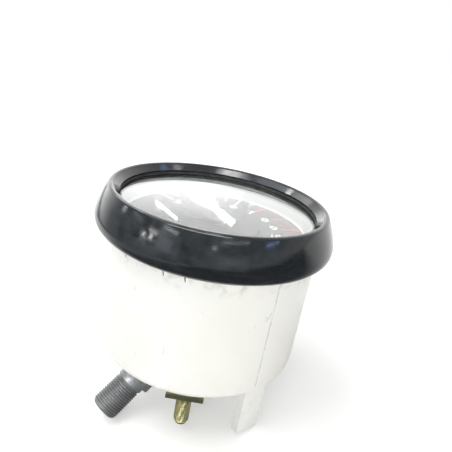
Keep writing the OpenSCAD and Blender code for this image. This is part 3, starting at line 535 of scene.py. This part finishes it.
# Mounting studs with their thread, which ends STUD_PLAIN below the plate
STUD_COLUMNS = 48
STUD_STEPS = 150
STUD_EDGE = (0.75, 0.5)
STUD_THREAD_DEPTH = 0.55
STUD_PLAIN = 0.6
MIDDLE_R = 0.01
low, top = stud_end / MM, stud_top / MM
stud_rows = ring_rows([(MIDDLE_R, low), (STUD_R - STUD_EDGE[0], low)], STUD_COLUMNS)
stud_rows += thread_rows(low + STUD_EDGE[1], -STUD_PLAIN, STUD_R - STUD_THREAD_DEPTH, STUD_R, STUD_PITCH,
                         STUD_STEPS, STUD_COLUMNS)
stud_rows += ring_rows([(STUD_R, 0), (STUD_HEAD_R, 0), (STUD_HEAD_R, top), (MIDDLE_R, top)], STUD_COLUMNS)
stud_places = [Matrix.Translation((0, side * STUD_SPACING / 2, 0)) for side in (-1, 1)]
lathed("stud_threads", stud_rows, stud_places, "yellow_zinc", "yellow_zinc", "mounting_studs")


# Printed scale: 0 to 10 over SCALE_SWEEP degrees with 5 near the top, printed from 3 on. Sizes are in
# millimetres, angles in degrees, and the digit widths are shares of the font's.
SCALE_FIRST = 3
SCALE_LAST = 10
SCALE_SWEEP = 210.0
DIAL_TURN = 5.5
RED_FROM = 7
NUMBER_POS = 24.5
NUMBER_SIZE = 5.8
DIGIT_WIDTH = 1.4
TWO_DIGITS_WIDTH = 0.9
FIFTHS = 5
TICK_OUT = 36.7
TICK_IN = 27.4
HALF_TICK_IN = 30.2
HALF_RED_TICK_IN = 28.0
FIFTH_TICK_IN = 34.2
TICK_W = 1.15
HALF_TICK_W = 0.8
FIFTH_TICK_W = 0.35
TICK_TAPER = 0.8
PRINT_T = 0.02
PRINT_GAP = 0.002
RIM_LINE_IN = 36.75
RIM_LINE_OUT = 37.25
RIM_COLUMNS = 96


def scale_azimuth(value):
    """Direction of a scale value, in degrees round Z from +X."""
    return 90 + DIAL_TURN + SCALE_SWEEP / 2 - SCALE_SWEEP * value / SCALE_LAST


def bar(azimuth, inner, outer, width, taper=1.0):
    """A flat radial bar just above the dial, as points and faces."""
    angle = math.radians(azimuth)
    along = Vector((math.cos(angle), math.sin(angle), 0))
    across = Vector((-math.sin(angle), math.cos(angle), 0))
    base, up = Vector((0, 0, dial_top / MM + PRINT_GAP)), Vector((0, 0, PRINT_T))
    corners = [base + along * inner - across * width * taper / 2, base + along * outer - across * width / 2,
               base + along * outer + across * width / 2, base + along * inner + across * width * taper / 2]
    points = corners + [c + up for c in corners]
    faces = [(3, 2, 1, 0), (4, 5, 6, 7), (0, 1, 5, 4), (1, 2, 6, 5), (2, 3, 7, 6), (3, 0, 4, 7)]
    return points, faces


white_bars, red_bars, half_red_bars, fine_bars = [], [], [], []
for fifth in range(SCALE_FIRST * FIFTHS, SCALE_LAST * FIFTHS + 1):
    value = fifth / FIFTHS
    if fifth % FIFTHS == 0:
        group = red_bars if value >= RED_FROM else white_bars
        group.append(bar(scale_azimuth(value), TICK_IN, TICK_OUT, TICK_W, TICK_TAPER))
    elif value < RED_FROM:
        fine_bars.append(bar(scale_azimuth(value), FIFTH_TICK_IN, TICK_OUT, FIFTH_TICK_W))
for whole in range(SCALE_FIRST, SCALE_LAST):
    value = whole + 0.5
    group, inner = (half_red_bars, HALF_RED_TICK_IN) if value >= RED_FROM else (white_bars, HALF_TICK_IN)
    group.append(bar(scale_azimuth(value), inner, TICK_OUT, HALF_TICK_W, TICK_TAPER))
for name, bars, ink in (("scale_bars_white", white_bars, "faded_print"),
                        ("scale_bars_red", red_bars, "red_print"),
                        ("scale_bars_half_red", half_red_bars, "faded_red"),
                        ("scale_bars_fine", fine_bars, "cream_print")):
    add_mesh(name, *joined(bars), ink, slot="black_enamel")

rim_low, rim_high = dial_top / MM + PRINT_GAP, dial_top / MM + PRINT_T
rim_rows = ring_rows([(RIM_LINE_IN, rim_low), (RIM_LINE_IN, rim_high), (RIM_LINE_OUT, rim_high),
                      (RIM_LINE_OUT, rim_low)], RIM_COLUMNS)
add_mesh("scale_rim_line", [point for row in rim_rows for point in row],
         grid_faces(len(rim_rows), RIM_COLUMNS), "white_print", slot="black_enamel")

for value in range(SCALE_FIRST, SCALE_LAST + 1):
    angle = math.radians(scale_azimuth(value))
    text = bpy.data.curves.new(f"number_{value}", "FONT")
    text.body = str(value)
    text.align_x, text.align_y = "CENTER", "CENTER"
    text.size = NUMBER_SIZE * MM
    text.extrude = PRINT_T / 2 * MM
    text.materials.append(mats["white_print"])
    number = bpy.data.objects.new(f"number_{value}", text)
    bpy.context.scene.collection.objects.link(number)
    number.location = (NUMBER_POS * MM * math.cos(angle), NUMBER_POS * MM * math.sin(angle),
                       dial_top + (PRINT_T / 2 + PRINT_GAP) * MM)
    number.scale.x = TWO_DIGITS_WIDTH if value > 9 else DIGIT_WIDTH
    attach(number, "instrument")


# Parting seam and slots of the white case: azimuths in degrees, the rest in millimetres
SEAM_AZIMUTH = -53.0
SEAM_WIDTH = 0.42
SEAM_WIDTH_SHARES = (0.6, 1.3)
SEAM_WANDER = 0.16
SEAM_LOW = 6.2
SEAM_STEPS = 60
SEAM_SEED = 7
SLOT_AZIMUTHS = (-133.0, -110.0, -99.5)
SLOT_TURNS = (0, 120, 240)
SLOT_LENGTH = 2.8
SLOT_LEAN = 0.9
SLOT_WIDTHS = (0.3, 0.5, 0.6)
UNDER_BEZEL = 0.4
STRIP_GAP = 0.015


def wall_strip(azimuths, heights, widths):
    """A thin strip on the case's wall through (azimuth, height) of given widths, as points and faces."""
    radius = CASE_R + STRIP_GAP
    points = []
    for azimuth, z, width in zip(azimuths, heights, widths):
        half = math.degrees(width / 2 / CASE_R)
        for side in (-1, 1):
            angle = math.radians(azimuth + side * half)
            points.append((radius * math.cos(angle), radius * math.sin(angle), z))
    return points, [(2 * i, 2 * i + 1, 2 * i + 3, 2 * i + 2) for i in range(len(azimuths) - 1)]


rng = random.Random(SEAM_SEED)
wall_top = bezel_bottom / MM
seam_top = wall_top + UNDER_BEZEL
seam_heights = [SEAM_LOW + (seam_top - SEAM_LOW) * i / SEAM_STEPS for i in range(SEAM_STEPS + 1)]
for name, middle in (("case_seam", SEAM_AZIMUTH), ("case_seam_far", SEAM_AZIMUTH + 180)):
    azimuths = [middle + rng.uniform(-SEAM_WANDER, SEAM_WANDER) for _ in seam_heights]
    widths = [SEAM_WIDTH * rng.uniform(*SEAM_WIDTH_SHARES) for _ in seam_heights]
    add_mesh(name, *wall_strip(azimuths, seam_heights, widths), "seam", slot="white_plastic")
slots = [wall_strip([azimuth + turn + SLOT_LEAN, azimuth + turn + SLOT_LEAN / 3, azimuth + turn],
                    [wall_top - SLOT_LENGTH, wall_top - SLOT_LENGTH / 3, seam_top], SLOT_WIDTHS)
         for turn in SLOT_TURNS for azimuth in SLOT_AZIMUTHS]
add_mesh("case_slots", *joined(slots), "gap", slot="white_plastic")

# Floor that the instrument leans on: it touches the nipple's end and two feet. It glows a little where it
# is seen, and more far away; mirrored, it is brighter behind the object and dark in front of it and far left.
# Distances are in metres, from where a change starts to where it is full.
REST_TILT = 10.4
FLOOR_SIZE = 3.0
FLOOR_GAP = 0.0001
FLOOR_COLOR = (0.80, 0.795, 0.78)
FLOOR_ROUGH = 0.7
FLOOR_GLOW_NEAR = 0.34
FLOOR_GLOW_FAR = 0.6
GLOW_DISTANCES = (0.12, 0.9)
BACK_FLOOR_MIRRORED = 0.3
BACK_FLOOR_Y = (0.06, 0.25)
FRONT_MIRRORED = 0.16
FRONT_TINT = (0.9, 0.95, 1)
FRONT_FLOOR_Y = (0.06, -0.03)
ASIDE_X = (-0.16, -0.26)
ASIDE_SHARE = 0.45
FAR_LEFT_X = (-0.5, -0.9)
FAR_LEFT_SHARE = 0.8


def lowest_along(normal):
    """How far the object reaches against the floor's normal."""
    return min(corner.co.dot(normal) for obj in nodes.values() for corner in obj.data.vertices)


def floor_material():
    """Pale floor whose glow is seen and mirrored, with a dark part for mirrors."""
    made = bpy.data.materials.new("pale_floor")
    made.use_nodes = True
    tree = made.node_tree
    shader = tree.nodes["Principled BSDF"]
    shader.inputs["Base Color"].default_value = (*FLOOR_COLOR, 1)
    shader.inputs["Roughness"].default_value = FLOOR_ROUGH
    rays = tree.nodes.new("ShaderNodeLightPath")
    mirrored = rays.outputs["Is Glossy Ray"]
    coords = tree.nodes.new("ShaderNodeTexCoord").outputs["Object"]
    x, y, _ = axes(tree, coords)
    distance = tree.nodes.new("ShaderNodeVectorMath")
    distance.operation = "LENGTH"
    tree.links.new(coords, distance.inputs[0])
    glow = tree.nodes.new("ShaderNodeEmission")
    glow.inputs["Color"].default_value = (1, 1, 1, 1)
    seen = greater(tree, rays.outputs["Is Camera Ray"],
                   greater(tree, mirrored, rays.outputs["Is Transmission Ray"]))
    fade = spread(tree, distance.outputs["Value"], *GLOW_DISTANCES, FLOOR_GLOW_NEAR, FLOOR_GLOW_FAR)
    behind = times(tree, mirrored, spread(tree, y, *BACK_FLOOR_Y, 0.0, BACK_FLOOR_MIRRORED))
    tree.links.new(plus(tree, times(tree, seen, fade), behind), glow.inputs["Strength"])
    together = tree.nodes.new("ShaderNodeAddShader")
    tree.links.new(shader.outputs["BSDF"], together.inputs[0])
    tree.links.new(glow.outputs["Emission"], together.inputs[1])
    in_front = times(tree, spread(tree, y, *FRONT_FLOOR_Y), spread(tree, x, *ASIDE_X, 1.0, ASIDE_SHARE))
    in_front = greater(tree, in_front, spread(tree, x, *FAR_LEFT_X, 0.0, FAR_LEFT_SHARE))
    dark = tree.nodes.new("ShaderNodeEmission")
    dark.inputs["Color"].default_value = (*FRONT_TINT, 1)
    dark.inputs["Strength"].default_value = FRONT_MIRRORED
    choice = tree.nodes.new("ShaderNodeMixShader")
    tree.links.new(times(tree, mirrored, in_front), choice.inputs["Fac"])
    tree.links.new(together.outputs["Shader"], choice.inputs[1])
    tree.links.new(dark.outputs["Emission"], choice.inputs[2])
    tree.links.new(choice.outputs["Shader"], tree.nodes["Material Output"].inputs["Surface"])
    return made


tilt = math.radians(REST_TILT)
floor_normal = Vector((-math.sin(tilt), 0, math.cos(tilt)))
floor_side, floor_depth = Vector((math.cos(tilt), 0, math.sin(tilt))), Vector((0, 1, 0))
floor_middle = floor_normal * (lowest_along(floor_normal) - FLOOR_GAP)
floor_mesh = bpy.data.meshes.new("floor")
floor_mesh.from_pydata([floor_middle + floor_side * x * FLOOR_SIZE + floor_depth * y * FLOOR_SIZE
                        for x, y in ((-1, -1), (1, -1), (1, 1), (-1, 1))], [], [(0, 1, 2, 3)])
floor = bpy.data.objects.new("floor", floor_mesh)
bpy.context.scene.collection.objects.link(floor)
floor_mesh.materials.append(floor_material())

# World: white where it is seen, a plain level as light, and for mirrors a patchy room in front and a bright
# haze low at the back. Limits are directions' X, Y or Z, from where a change starts to where it is full.
WORLD_LIGHT = 0.5
MIRRORED_DARK = 0.3
MIRRORED_BRIGHT = 1.15
MIRRORED_BACK = 0.7
MIRRORED_LOW = 0.15
BACK_Y = (0.3, 0.75)
LOW_Z = (0.39, 0.28)
HAZE_Z = (0.352, 0.3)
HAZE_X = (0.06, -0.04)
CLUTTER_EDGES = (0.38, 0.62)
RISING_Z = (0.05, 0.5)
RISING_LEVELS = (1.0, 1.15)
ROOM_TURN = 0.25
ROOM_Y = (0.2, -0.3)
ROOM_TINT = (0.8, 0.93, 1.0)


def studio_world():
    """The world's shader, by the kind of ray."""
    world = bpy.data.worlds.new("studio")
    bpy.context.scene.world = world
    world.use_nodes = True
    sky = world.node_tree
    background = sky.nodes["Background"]
    rays = sky.nodes.new("ShaderNodeLightPath")
    mirrored = rays.outputs["Is Glossy Ray"]
    coords = sky.nodes.new("ShaderNodeTexCoord").outputs["Generated"]
    x, y, z = axes(sky, coords)
    at_back = spread(sky, y, *BACK_Y)
    low_down = spread(sky, z, *LOW_Z)
    extra = times(sky, at_back, plus(sky, MIRRORED_BACK, times(sky, low_down, MIRRORED_LOW)))
    haze = times(sky, spread(sky, z, *HAZE_Z), spread(sky, x, *HAZE_X))
    extra = plus(sky, extra, times(sky, haze, at_back))
    clutter = noise(sky, coords, 3.2, detail=3.0, distortion=0.6)
    patchy = times(sky, spread(sky, clutter, *CLUTTER_EDGES, MIRRORED_DARK, MIRRORED_BRIGHT),
                   spread(sky, z, *RISING_Z, *RISING_LEVELS))
    in_room = spread(sky, plus(sky, y, times(sky, x, ROOM_TURN)), *ROOM_Y)
    plain = plus(sky, times(sky, in_room, patchy), rest_of(sky, in_room))
    mirrored_level = times(sky, mirrored, plus(sky, plain, extra))
    seen = greater(sky, rays.outputs["Is Camera Ray"], rays.outputs["Is Transmission Ray"])
    as_light = times(sky, WORLD_LIGHT, rest_of(sky, greater(sky, mirrored, seen)))
    sky.links.new(plus(sky, as_light, greater(sky, seen, mirrored_level)), background.inputs["Strength"])
    sky.links.new(blend_color(sky, times(sky, in_room, mirrored), (1.0, 1.0, 1.0), ROOM_TINT),
                  background.inputs["Color"])


studio_world()


def area_light(name, place, size, radiance, toward=(0, 0, 0.03), along=None, color=(1, 1, 1), mirrored=True):
    """A rectangular lamp at place, facing toward, that the camera doesn't see. size is its length and
    depth, along its long side's direction, and radiance how bright its face looks, where 1 is white."""
    data = bpy.data.lights.new(name, "AREA")
    data.shape = "RECTANGLE"
    data.size, data.size_y = size
    data.energy = 4 * radiance * size[0] * size[1]
    data.color = color
    lamp = bpy.data.objects.new(name, data)
    bpy.context.scene.collection.objects.link(lamp)
    back = (Vector(place) - Vector(toward)).normalized()
    side = Vector(along) if along else Vector((0, 0, 1)).cross(back)
    side = (side - back * side.dot(back)).normalized()
    rotation = Matrix((side, back.cross(side), back)).transposed()
    lamp.matrix_world = Matrix.Translation(Vector(place)) @ rotation.to_4x4()
    lamp.visible_camera = False
    lamp.visible_glossy = mirrored
    return lamp


def direction(azimuth, elevation):
    """Unit vector at that azimuth from +X and that height above the horizon, in degrees."""
    turn, rise = math.radians(azimuth), math.radians(elevation)
    return Vector((math.cos(turn) * math.cos(rise), math.sin(turn) * math.cos(rise), math.sin(rise)))


# Soft light from the upper left, and fills from both sides in front. Nothing mirrors them.
KEY_DIRECTION = Vector((-0.52, 0.02, 0.85)).normalized()
KEY_DISTANCE = 1.1
area_light("soft_key", KEY_DIRECTION * KEY_DISTANCE, (0.75, 1.0), 3.0, along=(1, 0, 0), mirrored=False)
area_light("fill", (-0.5, -1.35, 0.5), (0.8, 0.8), 3.0, mirrored=False)
area_light("side_fill", (1.0, -1.1, 0.4), (0.6, 0.6), 3.2, mirrored=False)

# Lamps that only mirrors see, as highlights on the bezel. They stand SHINE_STEP apart, so that none hides
# another. Each has its azimuth, height above the horizon, radiance, length and depth in metres at
# SHINE_DISTANCE, and colour.
SHINE_DISTANCE = 1.2
SHINE_STEP = 0.005
WHITE, LILAC, BLUE = (1, 1, 1), (0.84, 0.92, 1.0), (0.3, 0.5, 1.0)
SLOPE_SHINES = {
    "overhead": (-112, 84, 9.0, 0.17, 0.08, WHITE),
    "overhead_edge": (-112, 84, 7.5, 0.3, 0.14, WHITE),
    "overhead_soft": (-158, 79, 4.5, 0.2, 0.2, WHITE),
    "sheen": (165, 62, 2.0, 0.6, 0.4, LILAC),
    "sheen_low": (130, 37, 2.2, 0.35, 0.4, WHITE),
    "spot_left": (143, 49, 13.0, 0.08, 0.1, WHITE),
    "spot_right": (17, 62, 6.0, 0.06, 0.06, WHITE),
    "spot_right_edge": (17, 62, 2.5, 0.13, 0.12, WHITE),
    "blue_patch": (30, 54, 3.0, 0.1, 0.1, BLUE),
}
FLANK_SHINES = {
    "front_patch": (-130, 14, 0.5, 0.5, 0.34, LILAC),
    "front_core": (-132, 12, 1.0, 0.3, 0.22, LILAC),
    "arc_left": (-146, 17, 8.0, 0.2, 0.06, WHITE),
    "arc_right": (-131, 25, 6.0, 0.3, 0.05, WHITE),
    "bar_left": (-154, 10, 13.0, 0.07, 0.09, WHITE),
    "bar_right": (-146, 12, 13.0, 0.07, 0.11, WHITE),
    "corner": (174, 12, 5.0, 0.1, 0.09, WHITE),
    "tail": (-168, 17, 1.6, 0.3, 0.05, WHITE),
    "marks": (-87, 22, 4.5, 0.07, 0.06, WHITE),
    "hand": (-68, 12, 0.3, 0.62, 0.24, WHITE),
    "hand_core": (-66, 12, 0.45, 0.4, 0.15, WHITE),
    "thin_arc": (-67, 28, 4.0, 0.55, 0.03, WHITE),
    "blue_spot": (-30, 22, 5.0, 0.3, 0.05, BLUE),
    "brow_band": (-105, 43, 12.0, 1.3, 0.2, WHITE),
}
# The points of the bezel that the two groups face
SLOPE_POINT = Vector((0, 0, lip_top))
FLANK_POINT = Vector((-0.008, -0.042, lip_top - 0.004))
for shines, point in ((SLOPE_SHINES, SLOPE_POINT), (FLANK_SHINES, FLANK_POINT)):
    for step, (name, (turn, rise, bright, wide, deep, color)) in enumerate(shines.items()):
        place = point + direction(turn, rise) * (SHINE_DISTANCE + SHINE_STEP * step)
        lamp = area_light(name, place, (wide, deep), bright, toward=point, color=color)
        lamp.visible_diffuse = False

# Two ceiling tubes mirrored in the glass: the pixels of the picture where their ends show, and their widths
# in metres
TUBE_DISTANCE = 2.4
TUBE_RADIANCE = 6.0
TUBES = {"tube_small": ((156.0, 201.5), (177.0, 219.0), 0.015),
         "tube_large": ((188.5, 185.4), (233.4, 223.8), 0.036)}


def mirrored_place(pixel):
    """Place TUBE_DISTANCE away that the glass mirrors at this pixel of the picture."""
    ray = camera_turn @ Vector((pixel[0] - PICTURE_PX / 2, PICTURE_PX / 2 - pixel[1], -FOCAL_PX))
    on_glass = eye + ray * ((glass_top - eye.z) / ray.z)
    return on_glass + Vector((ray.x, ray.y, -ray.z)).normalized() * TUBE_DISTANCE


for name, (first_px, last_px, width) in TUBES.items():
    first, last = mirrored_place(first_px), mirrored_place(last_px)
    area_light(name, (first + last) / 2, ((last - first).length, width), TUBE_RADIANCE,
               toward=(0, 0, glass_top), along=last - first)
